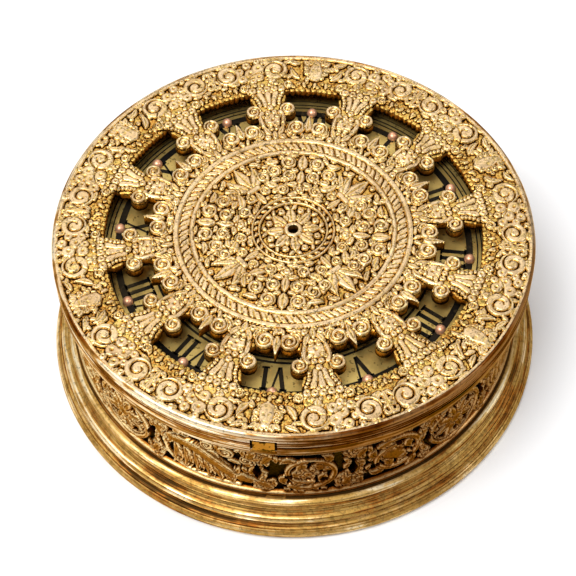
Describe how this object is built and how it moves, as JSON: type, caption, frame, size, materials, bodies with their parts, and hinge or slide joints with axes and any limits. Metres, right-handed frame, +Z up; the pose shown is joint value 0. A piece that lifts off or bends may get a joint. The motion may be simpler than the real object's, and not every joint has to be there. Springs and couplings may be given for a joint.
{
  "type": "clock watch",
  "caption": "Round gilt drum clock watch with a hinged pierced cover over a touch-pin dial, pierced band, moulded base, bell, going train and striking train.",
  "frame": {"origin": "centre of the base's foot, on the surface it stands on", "axes": "+Z up through the dial, +Y towards twelve o'clock and the hinges, -Y towards six o'clock and the lid catch"},
  "size_m": [0.0746, 0.0746, 0.025],
  "materials": {
    "gilt_chased": "fire-gilt and chased, dark in the recesses",
    "gilt_plain": "fire-gilt, turned and burnished",
    "gilt_dial": "matt gilding, dulled",
    "niello": "black filling",
    "copper": "bare copper, rubbed bright",
    "brass_plate": "gilt movement brass, brushed",
    "wheel_brass": "cut and polished brass",
    "steel": "filed iron and steel, grey",
    "blued_steel": "blued",
    "bell_metal": "cast and turned bell metal"
  },
  "bodies": {
    "base": {"base_moulding": "gilt_plain", "base_plate": "gilt_plain", "bell_post": "brass_plate", "bell": "bell_metal", "bell_nut": "steel", "base_hinge_pin": "steel"},
    "drum": {"drum_band": "gilt_chased", "drum_moulding": "gilt_plain", "lid_hinge_pin": "steel", "dial": "gilt_dial", "dial_numerals": "niello", "touch_pins": "copper", "dial_feet": "brass_plate", "front_plate": "brass_plate", "back_plate": "brass_plate", "pillars": "brass_plate", "pillar_pins": "steel", "centre_stud": "steel", "crown_potence": "brass_plate", "balance_cock": "brass_plate", "cock_pin": "steel", "going_barrel": "brass_plate", "going_mainspring": "blued_steel", "strike_barrel": "brass_plate", "strike_mainspring": "blued_steel", "count_studs": "steel", "lifter_stud": "steel", "hammer_spring": "blued_steel", "catch_rivet": "steel"},
    "lid": {"lid_rim": "gilt_plain", "pierced_cover": "gilt_chased"},
    "catch": {"lid_catch": "gilt_plain"},
    "going_great": {"going_arbor": "steel", "going_great_wheel": "wheel_brass", "going_click": "steel"},
    "second": {"second_wheel": "wheel_brass"},
    "contrate": {"contrate_wheel": "wheel_brass"},
    "crown": {"crown_wheel": "wheel_brass"},
    "balance": {"verge": "steel", "balance": "wheel_brass"},
    "hour": {"hour_wheel": "wheel_brass", "hour_hand": "blued_steel"},
    "strike_great": {"strike_arbor": "steel", "strike_great_wheel": "wheel_brass", "strike_click": "steel"},
    "striking": {"pin_wheel": "wheel_brass", "lift_pins": "steel"},
    "hoop": {"hoop_wheel": "wheel_brass"},
    "fly": {"fly": "wheel_brass"},
    "count": {"count_wheel": "wheel_brass"},
    "count_lever": {"count_lever": "steel"},
    "lifting_lever": {"lifting_lever": "steel"},
    "hammer": {"hammer": "steel"}
  },
  "joints": [
    {"name": "drum_hinge", "type": "hinge", "parent": "base", "child": "drum", "pos_m": [0, 0.0361, 0.0064], "axis": [-1, 0, 0], "range_deg": [0, 80]},
    {"name": "lid_hinge", "type": "hinge", "parent": "drum", "child": "lid", "pos_m": [0, 0.0362, 0.0208], "axis": [-1, 0, 0], "range_deg": [0, 100]},
    {"name": "catch_press", "type": "hinge", "parent": "drum", "child": "catch", "pos_m": [-0.01823, -0.02703, 0.022], "axis": [0, 0, 1], "range_deg": [0, 2], "stiffness_Nm_per_rad": 0.02},
    {"name": "second_spin", "type": "hinge", "parent": "drum", "child": "second", "pos_m": [-0.00991, -0.0086, 0.0116], "axis": [0, 0, 1], "continuous": true},
    {"name": "going_great_spin", "type": "hinge", "parent": "drum", "child": "going_great", "pos_m": [-0.01353, 0.00493, 0.0106], "axis": [0, 0, 1], "continuous": true},
    {"name": "contrate_spin", "type": "hinge", "parent": "drum", "child": "contrate", "pos_m": [-0.00298, -0.01553, 0.0116], "axis": [0, 0, 1], "continuous": true},
    {"name": "crown_spin", "type": "hinge", "parent": "drum", "child": "crown", "pos_m": [-0.00298, -0.01553, 0.0146], "axis": [1, 0, 0], "continuous": true},
    {"name": "hour_spin", "type": "hinge", "parent": "drum", "child": "hour", "pos_m": [0, 0, 0.019], "axis": [0, 0, 1], "continuous": true},
    {"name": "balance_swing", "type": "hinge", "parent": "drum", "child": "balance", "pos_m": [0.00902, -0.01553, 0.008], "axis": [0, 0, 1], "range_deg": [-45, 45]},
    {"name": "striking_spin", "type": "hinge", "parent": "drum", "child": "striking", "pos_m": [0.00653, 0.01705, 0.0116], "axis": [0, 0, 1], "continuous": true},
    {"name": "strike_great_spin", "type": "hinge", "parent": "drum", "child": "strike_great", "pos_m": [0.01353, 0.00493, 0.0106], "axis": [0, 0, 1], "continuous": true},
    {"name": "hoop_spin", "type": "hinge", "parent": "drum", "child": "hoop", "pos_m": [-0.00202, 0.02016, 0.0116], "axis": [0, 0, 1], "continuous": true},
    {"name": "fly_spin", "type": "hinge", "parent": "drum", "child": "fly", "pos_m": [-0.00794, 0.01801, 0.0116], "axis": [0, 0, 1], "continuous": true},
    {"name": "count_spin", "type": "hinge", "parent": "drum", "child": "count", "pos_m": [0.0025, 0.00687, 0.008], "axis": [0, 0, 1], "continuous": true},
    {"name": "count_lever_lift", "type": "hinge", "parent": "drum", "child": "count_lever", "pos_m": [-0.012, 0.016, 0.008], "axis": [0, 0, 1], "range_deg": [0, 10], "stiffness_Nm_per_rad": 0.002},
    {"name": "lifting_lever_lift", "type": "hinge", "parent": "drum", "child": "lifting_lever", "pos_m": [0.009, -0.0195, 0.019], "axis": [0, 0, 1], "range_deg": [0, 8], "stiffness_Nm_per_rad": 0.002},
    {"name": "hammer_lift", "type": "hinge", "parent": "drum", "child": "hammer", "pos_m": [0.0175, 0.02, 0.008], "axis": [0, 0, -1], "range_deg": [0, 14], "stiffness_Nm_per_rad": 0.005}
  ],
  "couplings": [
    {"joint": "going_great_spin", "follows": "second_spin", "ratio": -0.16667},
    {"joint": "hour_spin", "follows": "second_spin", "ratio": 0.033333},
    {"joint": "contrate_spin", "follows": "second_spin", "ratio": -6},
    {"joint": "crown_spin", "follows": "second_spin", "ratio": -30},
    {"joint": "strike_great_spin", "follows": "striking_spin", "ratio": -0.16667},
    {"joint": "hoop_spin", "follows": "striking_spin", "ratio": -5.5},
    {"joint": "fly_spin", "follows": "striking_spin", "ratio": 33},
    {"joint": "count_spin", "follows": "striking_spin", "ratio": 0.027778}
  ]
}
